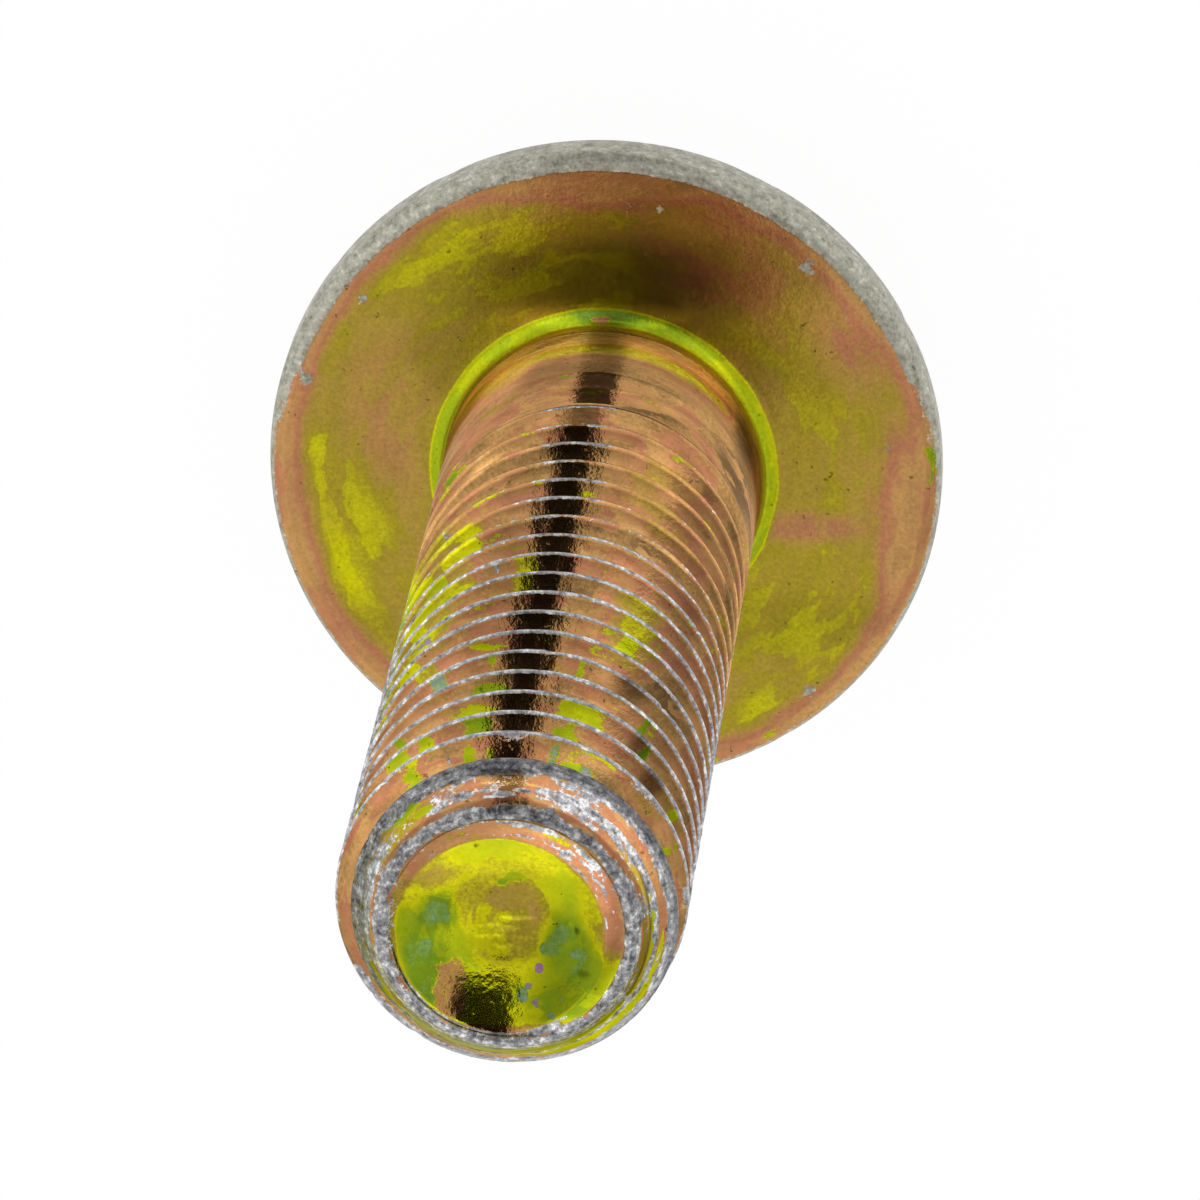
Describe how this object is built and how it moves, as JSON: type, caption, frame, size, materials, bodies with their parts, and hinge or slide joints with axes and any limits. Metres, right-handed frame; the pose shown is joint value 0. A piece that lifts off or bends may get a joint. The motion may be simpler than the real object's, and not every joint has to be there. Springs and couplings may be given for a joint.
{
  "type": "hex flange screw",
  "caption": "Hex flange screw, forged in one piece, with a short plain shank, a rolled thread and a bevelled, dished end, in worn yellow-passivated zinc.",
  "frame": {"origin": "centre of the head's flat top, on which the screw stands", "axes": "+Z along the screw's axis, from the head to the threaded end; +X through a corner of the hexagon"},
  "size_m": [0.021, 0.021, 0.0442],
  "materials": {
    "passivated_steel": "zinc with an iridescent yellow passivation, copper brown to yellow and green, rubbed to bare grey on the crests, the point's edges and the flange's rim"
  },
  "bodies": {
    "root": {"flange_screw": "passivated_steel"}
  },
  "joints": []
}
